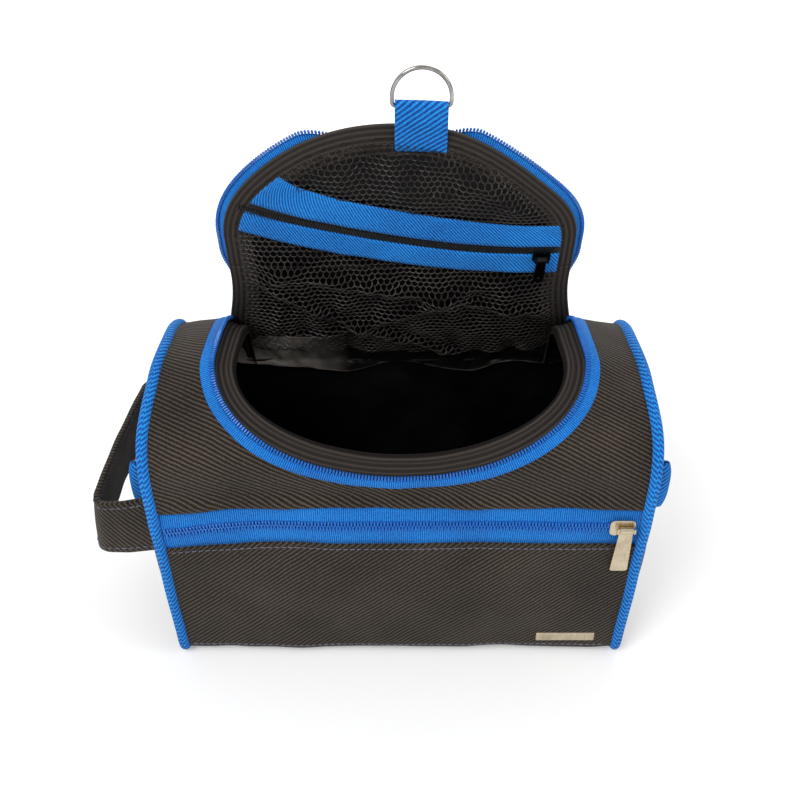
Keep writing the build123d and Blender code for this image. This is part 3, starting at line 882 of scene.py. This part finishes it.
def on_lid(x, s, level=0.0):
    """The place at x and s on the lid, in metres. The lid widens to the hinge and its corners are soft."""
    x *= 1 + 0.125 * eased(s, 78, 4)
    s -= (7.5 * ridge(x - 72, 34) + 1.5 * ridge(x + 76, 30)) * eased(s, 96, 146)
    k = min(max(int(s), 0), lid_reach - 2)
    part = s - k
    y = lid_line_y[k] + (lid_line_y[k + 1] - lid_line_y[k]) * part
    z = lid_line_z[k] + (lid_line_z[k + 1] - lid_line_z[k]) * part
    inward = math.radians(lid_slope[k] + (lid_slope[k + 1] - lid_slope[k]) * part + 90)
    # The whole lid is uneven and its sides curl back, apart from under the hanging tab.
    sway = 1.5 * noise.noise(Vector((x / 60, s / 50, 12))) * min(1, s / 40)
    sway -= 2.2 * (abs(x) / lid_half) ** 4 * min(1, s / 30)
    sway *= 1 - bell(x - 10, s - 168, 22, 14)
    return Vector((x, y + (level + sway) * math.cos(inward), z + (level + sway) * math.sin(inward))) / 1000


def lid_wide(s, inset):
    """Half the lid's width at s, this far in from its edge."""
    if s <= lid_straight:
        return lid_half - inset
    rise = (s - lid_straight) / (lid_length - inset - lid_straight)
    return (lid_half - inset) * math.sqrt(max(0, 1 - rise * rise))


def fold_rear(piece):
    tuple(on_lid(0, 34))
    tuple(on_lid(0, 80))
    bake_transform(piece)


def fold_front(piece):
    tuple(on_lid(0, 90))
    tuple(on_lid(0, 136))
    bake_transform(piece)


def lid_cuts(inset):
    """The cuts of the lid's two halves."""
    tip = lid_length - inset

    def rear(u, v):
        s = 2 + (lid_middle_s - 2) * v
        return lid_wide(s, inset) * (2 * u - 1), s

    def front(u, v):
        s = lid_middle_s + (tip - lid_middle_s) * math.sin(v * math.pi / 2)
        return lid_wide(min(s, tip - 0.001), inset) * (2 * u - 1), s

    return rear, front


def lid_sheets(name, inset, level, thickness, puff, facing, finish, slot, *layers):
    """Both halves of a sheet that covers the lid up to this far from its edge, puffed up by this much."""
    halves = []
    for part, cut, fold in zip(("rear", "front"), lid_cuts(inset), (fold_rear, fold_front)):

        def hang(a, b):
            swell = puff * math.sin(math.pi * min(b / (lid_length - inset), 1)) ** 0.5
            return on_lid(a, b, level + swell * (1 - (a / lid_half) ** 4))

        half = cloth_sheet(f"{name}_{part}", 90, 44, cut, hang, thickness, facing)
        dress(half, finish, slot, *(f"lid_{flap}_{layer}" for flap in flaps_under[part] for layer in layers))
        fold(half)
        halves.append(half)
    return halves


inside_way = Vector((0, -1, 0.35))
outer_halves = lid_sheets(
    "lid_twill", 6.5, -2.6, 1.2, -1.2, -inside_way, rising_twill, "twill", "panel", "padding"
)
lining_halves = lid_sheets("lid_lining", 11.0, 1.9, 0.5, 0, inside_way, black_satin, "black_lining", "lining")
for outer, inner in zip(outer_halves, lining_halves):
    declare_cut(inner)

# Lid edging: black ribbed tape folded round the raw edge of the lid, with the blue zip tape
# and its coils standing out past it. Where the zip tape is slack, it lies folded back behind the lid.
binding_face = 14.5
binding_wrap = 19.5
binding_edge = 5.2
binding_level = 2.4
lid_tape_width = 7.0
lid_tooth = (0.00105, 0.0019, 0.0017)
lid_tooth_inset, lid_tooth_level = 1.1, -2.6
lid_tooth_step = 0.004
binding_cloth = ribbed("black_ribbed_binding", binding_face)


def lid_side(x, start, end):
    return measured([(x, start + (end - start) * k / 20) for k in range(21)])


def lid_nose():
    """The edge of the lid's front half, from its right side by the tip to its left side."""
    points = [(lid_half, lid_middle_s + (lid_straight - lid_middle_s) * k / 12) for k in range(12)]
    for k in range(121):
        turn = math.pi / 2 * k / 120
        rise = (lid_length - lid_straight) * math.sin(turn)
        points.append((lid_half * math.cos(turn), lid_straight + rise))
    return measured(points + [(-x, s) for x, s in reversed(points[:-1])])


def turned_under(x, s):
    """How far in and how far back the zip tape is folded: low on both sides, and behind the hanging tab."""
    low = eased(s, 92, 60)
    top = eased(abs(x + 5), 46, 22) if s > 130 else 0
    return 5.5 * low + 10.5 * top, 3.2 * max(low * min(1, s / 15), top)


def binding_shape(b):
    """The binding's inset and level across its width: its ribbed face, then its turn round the edge."""
    if b <= binding_face:
        share = b / binding_face
        face_level = binding_level + 0.9 * math.sin(math.pi * min(share, 0.85)) + rib_height(share)
        return binding_edge + binding_face - b, face_level
    turn = (b - binding_face) / (binding_wrap - binding_face)
    inset = binding_edge - 0.5 * math.sin(math.pi * min(turn * 2, 1)) + 4 * max(0, turn - 0.5)
    return inset, 2.6 - 6.0 * turn


def tape_shape(b):
    return 1.8 + b, -0.6 - 2.2 * (1 - b / lid_tape_width) ** 2


def strip_on_lid(name, line, width, shape, turn, columns, rows, thickness):
    """A strip sewn along one of the lid's edges. shape(b) gives the inset and level across its width,
    and turn(x, s) how much further in and back it lies."""
    length = line[1][-1]

    def hang(a, b):
        inset, level = shape(b)
        inward, under = turn(*along_line(line, a / length, inset))
        x, s = along_line(line, a / length, inset + inward)
        return on_lid(x, s, level - under)

    return cloth_sheet(name, columns, rows, lambda u, v: (length * u, width * v), hang, thickness, inside_way)


def lid_teeth_places(line, count):
    places = []
    for k in range(count):
        share = (k + 0.5) / count
        inward, under = turned_under(*along_line(line, share))
        inset, level = lid_tooth_inset + inward, lid_tooth_level - under
        here = on_lid(*along_line(line, share, inset), level)
        ahead = on_lid(*along_line(line, min(share + lid_tooth_step, 1), inset), level)
        before = on_lid(*along_line(line, max(share - lid_tooth_step, 0), inset), level)
        inner = on_lid(*along_line(line, share, inset + 1), level)
        places.append(bar_place(here, ahead - before, inner))
    return places


lid_edges = (
    ("right", lid_side(lid_half, 3, lid_middle_s), 44, 48, fold_rear),
    ("left", lid_side(-lid_half, lid_middle_s, 3), 44, 48, fold_rear),
    ("front", lid_nose(), 260, 190, fold_front),
)
for name, line, columns, tooth_count, fold in lid_edges:
    binding = strip_on_lid(
        f"lid_binding_{name}", line, binding_wrap, binding_shape, lambda x, s: (0, 0), columns, 40, 0.6
    )
    tape = strip_on_lid(
        f"lid_zip_tape_{name}", line, lid_tape_width, tape_shape, turned_under, columns, 8, 0.8
    )
    binding_nodes, tape_nodes, coil_nodes = (
        [f"lid_{flap}_{node}" for flap in flaps_under[name]] for node in ("binding", "zip_tape", "zip_coil")
    )
    dress(binding, binding_cloth, "webbing", *binding_nodes)
    dress(tape, blue_tape, "blue_tape", *tape_nodes)
    places = lid_teeth_places(line, tooth_count)
    teeth = row_of_bars(
        f"lid_zip_teeth_{name}", places, lid_tooth, coil_round, blue_coil, "blue_coil", *coil_nodes
    )
    for piece in (binding, tape, teeth):
        fold(piece)
    declare_cut(binding)

# Hinge strip: black twill sewn over the seam between the back wall and the lid.
# Its first few millimetres lie on the wall and the rest on the lid.
hinge_half = 94.0
hinge_wrap = 15.0
hinge_on_wall = 7.0
backwards = Vector((0, 1, 0))


def hinge_cut(u, v):
    return hinge_half * (2 * u - 1), hinge_wrap * v


def hinge_hang(a, b):
    past = b - hinge_on_wall
    if past < 0:
        return on_case(a / between(80, swell_at, swell_by), mouth_back - 6.5 + b, -0.5)
    return on_lid(a, past * 0.9, -1.9 - 0.6 * ridge(past, 3))


hinge_strip = cloth_sheet("hinge_strip", 80, 16, hinge_cut, hinge_hang, 0.8, backwards)
dress(hinge_strip, rising_twill, "twill", "hinge_seam")
tuple(on_lid(0, 5))
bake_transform(hinge_strip)
declare_cut(hinge_strip)

# Hinge facing: a loose strip of satin inside, which hides the seam between the lid and the
# back wall. It hangs from the lid in a crumpled edge. Its grey is painted highlight over dark satin, at both
# ends and along its hem.
fall_half = 95.0
fall_top, fall_low = 20.0, 4.0
fall_width = fall_top + fall_low
fall_hem = 0.7
wave_at = (-95, -62, -33, -3, 42, 66, 95)
wave_by = (-0.6, 0.2, 1, -0.9, 1, -0.9, -0.4)


def crumpled_satin(name, dark, light):
    """Dark satin with painted highlights: pale at both ends, most at the left, dark in the middle, and pale
    again along its hem.
    """
    finish, shader, tree, place = new_finish(name, 0.34)
    axes = split_axes(tree, place["Object"])
    # Painted light: the folds are painted lighter towards both ends, and most at the left.
    from_middle = math_node(tree, "ABSOLUTE", minus(tree, axes["X"], 0.006))
    painted_end_light = times(tree, minus(tree, from_middle, 0.03), 18)
    painted_left_light = times(tree, minus(tree, 0.06, axes["X"]), 8)
    fold = cloth_noise(tree, place["Object"], 70, 4)
    shade = times(tree, fold, times(tree, painted_end_light, painted_left_light))
    # Painted highlight along the hem.
    hem = math_node(tree, "GREATER_THAN", split_axes(tree, place["UV"])["Y"], (fall_width - fall_hem) / 1000)
    paint(tree, shader, plus(tree, shade, times(tree, hem, 0.22)), (0.05, dark), (0.5, light))
    raise_bump(tree, shader, fold, 0.003, 0.7)
    return finish


def fall_cut(u, v):
    return fall_half * (2 * u - 1), fall_width * v


def fall_hang(a, b):
    share = b / fall_width
    place = fall_top - (fall_width + 4.6 * between(a, wave_at, wave_by)) * share
    crumple = 2.4 * abs(noise.noise(Vector((a / 9, b / 10, 2))))
    crumple += 1.5 * noise.noise(Vector((a / 22, b / 16, 9)))
    out = 2.0 + 5.0 * share + crumple * math.sin(math.pi * (0.1 + 0.8 * share))
    top = on_lid(a, max(place, 0), out)
    below = on_case(a / between(87, swell_at, swell_by), mouth_back + min(place, 0), out + 1.2)
    return below.lerp(top, eased(place, -3, 3))


# The light colour is the painted highlight; the dark one is the satin's own.
satin_painted_light = crumpled_satin("satin_painted_light", (0.004, 0.0035, 0.003), (0.30, 0.27, 0.245))
fall = cloth_sheet("hinge_facing", 150, 24, fall_cut, fall_hang, 0.5, inside_way)
dress(fall, satin_painted_light, "black_lining")
tuple(on_lid(0, 9))
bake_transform(fall)
declare_cut(fall)

# Mesh pocket in the lid: black knitted net with six-sided holes, sewn in under the binding, which hangs
# loose and creased. It is in three pieces, with a gap for the pocket's zip and a join between the bends.
net_pitch = 3.3
net_hole = net_pitch / math.sqrt(3)
net_thread = 0.6
net_inset = 15.0
net_start = 4.0
net_columns = 28
net_folds = ((28, -0.62, 3.6), (52, 0.5, 5.0), (70, -0.24, 4.0), (118, 0.55, 4.0), (158, -0.5, 4.5))
net_zip_gap = 5.4
net_cord, net_shader, net_tree, net_place = new_finish("black_net_cord", 0.45)
net_cloud = cloth_noise(net_tree, net_place["Object"], 60, 3)
paint(net_tree, net_shader, net_cloud, (0.3, (0.014, 0.011, 0.010)), (0.75, (0.075, 0.062, 0.055)))


def zip_line(x):
    """How far up the lid the mesh pocket's zip runs: it sags to the right."""
    return 97 + 27.5 * (max(88 - x, 0) / 172) ** 1.9


def net_level(x, s):
    """How far the loose net stands off the lid: nothing at its seams, and more along its folds."""
    edge = share_of(lid_wide(s, net_inset) - abs(x), 0, 16) if s < lid_length - net_inset else 0
    away = share_of(abs(s - zip_line(x)), 15, 29) * min(1, s / 14)
    fold = noise.noise(Vector((x / 17 + s / 60, s / 42, 5))) + 0.5 * noise.noise(Vector((x / 8, s / 17, 2)))
    for start, slope, reach in net_folds:
        fold += 0.8 * ridge(s - start - slope * x, reach)
    return 3.4 + edge * away * (3.0 + (4.6 if s < 80 else 3.4) * fold)


def net_piece(name, keep, fold, *nodes):
    """A flat piece of net is cut to where keep(x, s) says, measured, and then hung on the lid."""
    bm = bmesh.new()
    rise = net_pitch * math.sqrt(3) / 2
    for row in range(int(lid_length / rise)):
        for column in range(-net_columns, net_columns + 1):
            x, s = (column + 0.5 * (row % 2)) * net_pitch, net_start + row * rise
            if keep(x, s) and abs(x) < lid_wide(s, net_inset - 3):
                spot = Matrix.Translation((x, s, 0)) @ Matrix.Rotation(math.pi / 6, 4, "Z")
                bmesh.ops.create_circle(bm, cap_ends=True, segments=6, radius=net_hole, matrix=spot)
    bmesh.ops.remove_doubles(bm, verts=bm.verts, dist=0.3)
    area = sum(face.calc_area() for face in bm.faces) / 1e6
    for v in bm.verts:
        x, s = v.co.x, min(v.co.y, lid_length - 8)
        sag = 1.4 * noise.noise(Vector((x / 20, s / 20, 30)))
        v.co = on_lid(x + sag, s, net_level(x, s))
    net = finish_piece(bm, name)
    strands = net.modifiers.new("strands", "WIREFRAME")
    strands.thickness = net_thread / 1000
    strands.use_even_offset = False
    dress(net, net_cord, "net", *nodes)
    fold(net)


def above_hem(x, s):
    return 11 + 5 * noise.noise(Vector((x / 22, 1, 1))) < s < lid_middle_s


def below_zip(x, s):
    return lid_middle_s <= s < zip_line(x) - net_zip_gap


def above_zip(x, s):
    return zip_line(x) + net_zip_gap < s < lid_length - net_inset + 4


net_piece("net_rear", above_hem, fold_rear, "lower_rear_mesh")
net_piece("net_below_zip", below_zip, fold_front, "lower_middle_mesh")
net_piece("net_above_zip", above_zip, fold_front, "upper_middle_mesh", "upper_front_mesh")

# Mesh pocket's zip: a small black coil zip across the net, between two bands of blue twill
# that are sewn to the net's edges.
mesh_zip_half = 2.4
band_half = 85.0
band_inset = 13.0
bands = (
    ("lower", -mesh_zip_half - 12.5, 12.5, "net_below_zip"),
    ("upper", mesh_zip_half, 14.5, "net_above_zip"),
)
mesh_tape_width = 6.0
mesh_coil_pitch = 1.2
mesh_coil_start, mesh_coil_count = -81.5, 136
mesh_coil_level = 4.3
mesh_row = 0.75
mesh_tooth = (0.0007, 0.0017, 0.0013)
mesh_coil_round = 0.0002
# Its dark and light colours are the painted shade in the grooves and the painted light on the rib tops.
tape_black = ((0.004, 0.004, 0.005), (0.012, 0.012, 0.013), (0.03, 0.03, 0.03))
blue_twill = twill("blue_twill_band", *blue, slant=-48, pitch=0.0015, depth=0.0003)
coil_tape = twill("black_zip_tape", *tape_black, slant=90, pitch=0.001, depth=0.0001)
black_coil = plastic("black_coil_nylon", (0.012, 0.012, 0.013), 0.35)


def strip_cut(start, width):
    return lambda u, v: (band_half * (2 * u - 1), start + width * v)


def beside_zip(a, b):
    """The place on the lid a along the mesh pocket's zip and b above it, kept inside the binding."""
    s = zip_line(a) + b
    return a * min(1, lid_wide(s, band_inset) / band_half), s


def band_hang(a, b):
    x, s = beside_zip(a, b)
    return on_lid(x, s, 4.6 + 0.5 * noise.noise(Vector((x / 14, s / 9, 3))))


for name, low, band_width, net_name in bands:
    band = cloth_sheet(f"{name}_twill_band", 110, 8, strip_cut(low, band_width), band_hang, 1.0, inside_way)
    dress(band, blue_twill, "blue_twill", f"{name}_mesh_band")
    fold_front(band)
    declare_cut(band)
mesh_tape_cut = strip_cut(-mesh_tape_width / 2, mesh_tape_width)
mesh_tape = cloth_sheet(
    "mesh_zip_tape", 110, 4, mesh_tape_cut, lambda a, b: on_lid(*beside_zip(a, b), 3.9), 0.6, inside_way
)
dress(mesh_tape, coil_tape, "coil")
fold_front(mesh_tape)
mesh_places = []
for row in (-1, 1):
    for k in range(mesh_coil_count):
        x = mesh_coil_start + mesh_coil_pitch * (k + 0.25 * row)
        s, next_s = zip_line(x) + mesh_row * row, zip_line(x + 1) + mesh_row * row
        here, there = on_lid(x, s, mesh_coil_level), on_lid(x + 1, next_s, mesh_coil_level)
        mesh_places.append(bar_place(here, there - here, on_lid(x, s + 1, mesh_coil_level)))
mesh_teeth = row_of_bars(
    "mesh_zip_teeth", mesh_places, mesh_tooth, mesh_coil_round, black_coil, "coil", "mesh_zip_coil"
)
fold_front(mesh_teeth)

# Hanging tab: blue twill webbing, folded in half round the ring's straight bar and sewn
# to the inside of the lid. Its path is in s and level, up over the bar and back down.
tab_middle, tab_half = 10.0, 12.5
tab_thickness = 1.1
bar_s, bar_level, bar_round = 176.6, 4.2, 1.75
tab_fold_s, tab_fold_end, tab_fold_level = 163.5, 166.7, 4.8
tab_cloth = twill("blue_twill_webbing", *blue, slant=36, pitch=0.0021, depth=0.0004)
tab_path = [(153.8, 3.4), (161, 4.6), (168.5, 6.0), (bar_s - 1.5, bar_level + bar_round + 0.1)]
for k in range(13):
    turn = math.pi / 2 - math.pi * k / 12
    tab_path.append((bar_s + bar_round * math.cos(turn), bar_level + bar_round * math.sin(turn)))
tab_path += [(bar_s - 1.5, bar_level - bar_round), (169.5, 3.4), (165, 3.2)]
tab_line = measured(tab_path)
tab_length = tab_line[1][-1]


def tab_cut(u, v):
    return tab_half * (2 * u - 1), tab_length * v


def tab_hang(a, b):
    s, level = along_line(tab_line, b / tab_length)
    ripple = 0.25 * math.sin(a / 3.1) * math.sin(math.pi * min(b / 18, 1))
    return on_lid(tab_middle + a, s, level + ripple)


tab = cloth_sheet("hanging_tab_webbing", 24, 80, tab_cut, tab_hang, tab_thickness, inside_way, offset=0)
dress(tab, tab_cloth, "blue_twill", "hanging_tab_patch", "hanging_tab_loop")
tab_fold = [tuple(on_lid(tab_middle, s, tab_fold_level)) for s in (tab_fold_s, tab_fold_end)]
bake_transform(tab)
declare_cut(tab)

# Metal: cast sliders and pulls, the bent wire ring and the bare name plate, in satin nickel, and
# the mesh pocket's slider and pull in black lacquer. Their shapes are the solids' own.


def metal(name, dark, light, roughness, scratch=1.0):
    """Brushed metal, with its scratches drawn out upwards."""
    finish, shader, tree, place = new_finish(name, roughness, 1.0)
    stretch = tree.nodes.new("ShaderNodeMapping")
    stretch.inputs["Scale"].default_value = (1.0, 1.0, 0.12)
    tree.links.new(place["Object"], stretch.inputs["Vector"])
    brushed = cloth_noise(tree, stretch.outputs[0], 1800, 2)
    cloud = cloth_noise(tree, place["Object"], 120, 3)
    shade = plus(tree, times(tree, brushed, 0.4), times(tree, cloud, 0.6))
    paint(tree, shader, shade, (0.3, dark), (0.7, light))
    raise_bump(tree, shader, brushed, 0.00004 * scratch)
    return finish


nickel = metal("satin_nickel", (0.50, 0.41, 0.28), (0.80, 0.69, 0.51), 0.26)
ring_wire = metal("bright_ring_wire", (0.20, 0.185, 0.17), (0.56, 0.53, 0.50), 0.18, 0.4)
black_metal = metal("black_lacquer", (0.015, 0.015, 0.016), (0.03, 0.03, 0.032), 0.35)
for node, finish in (
    ("front_zip_slider", nickel),
    ("front_zip_pull", nickel),
    ("main_zip_slider", nickel),
    ("main_zip_pull", nickel),
    ("name_plate", nickel),
    ("hanging_ring", ring_wire),
    ("mesh_zip_slider", black_metal),
    ("mesh_zip_pull", black_metal),
):
    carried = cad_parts[node]
    carried.data.materials.clear()
    carried.data.materials.append(finish)

# Handle: a loop of doubled twill webbing on the left end, stitched along both edges
# and sewn in behind the piping. Its path is in x and y, from the front seam out and round to the back one.
handle_middle = 95.0
handle_half = 17.0
handle_thickness = 2.8
seam_x, outer_x, leg_y, corner = -127.5, -160.65, 61.5, 10.0
handle_stitch_pitch = 3.7
handle_stitch_edge = 3.0
upwards = Vector((0, 0, 1))
handle_cloth = twill("charcoal_webbing", *charcoal, slant=50, pitch=0.0021, depth=0.0004)
handle_points = [(seam_x, -leg_y), (outer_x + corner + 8, -leg_y - 0.8)]
for k in range(9):
    turn = math.pi / 2 * k / 8
    handle_points.append(
        (outer_x + corner - corner * math.sin(turn), -leg_y + corner - corner * math.cos(turn))
    )
handle_points += [(outer_x - 0.6, -30), (outer_x - 1.0, 0)]
handle_points += [(x, -y) for x, y in reversed(handle_points[:-1])]
handle_line = measured(handle_points)
handle_length = handle_line[1][-1]


def handle_cut(u, v):
    return handle_length * u, handle_half * (2 * v - 1)


def handle_hang(a, b, out=0.0):
    """The place a along the handle and b up from its middle. Past its seams it sags, leans and ripples."""
    far = share_of(seam_x - along_line(handle_line, a / handle_length)[0], 0, 30)
    ripple = 0.9 * noise.noise(Vector((a / 25, b / 20, 7))) * far
    x, y = along_line(handle_line, a / handle_length, out - ripple)
    lean = 1.6 * far * b / handle_half
    return Vector((x + lean, y, handle_middle + b * (1 - 0.05 * far) - 3.5 * far)) / 1000


handle = cloth_sheet("handle_webbing", 150, 16, handle_cut, handle_hang, handle_thickness, offset=0)
dress(handle, handle_cloth, "webbing", "handle_ends", "handle_strap")
declare_cut(handle)
seam_places = []
for b in (-handle_half + handle_stitch_edge, handle_half - handle_stitch_edge):
    for side in (-1, 1):
        for k in range(int(handle_length / handle_stitch_pitch)):
            a = 3 + handle_stitch_pitch * k
            here, there = handle_hang(a, b, side * 1.5), handle_hang(a + 1, b, side * 1.5)
            seam_places.append((here, there - here, (there - here).cross(upwards)))
handle_seams = row_of_bars("handle_stitches", seam_places, stitch, stitch_round, stitch_thread, "webbing")
for piece in (handle, handle_seams):
    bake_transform(piece)

# Side tabs: short pieces of the blue webbing, folded in half and caught in the front seam
# of each end.
side_tab_length, side_tab_width = 20.0, 28.0
side_tab_place = Vector((132.0, -50, 112))
side_tab_reach = 8.2
seam_margin = 0.001


def side_tab_cut(u, v):
    return seam_margin + (side_tab_length - 2 * seam_margin) * u, side_tab_width * (v - 0.5)


for side, name in ends:

    def side_tab_hang(a, b):
        turn = math.pi * (a / side_tab_length - 0.5)
        reach = side_tab_reach * math.cos(turn) ** 0.7 * (1 - 0.25 * abs(2 * b / side_tab_width) ** 3)
        place = side_tab_place + Vector((reach, 1.7 * math.sin(turn), b))
        return Vector((side * place.x, place.y, place.z)) / 1000

    sideways = Vector((side, 0, 0))
    side_tab = cloth_sheet(
        f"{name}_side_webbing", 24, 20, side_tab_cut, side_tab_hang, 1.0, sideways, offset=0
    )
    sew_to_case(side_tab, tab_cloth, "blue_tape", f"{name}_side_tab")
    declare_cut(side_tab)
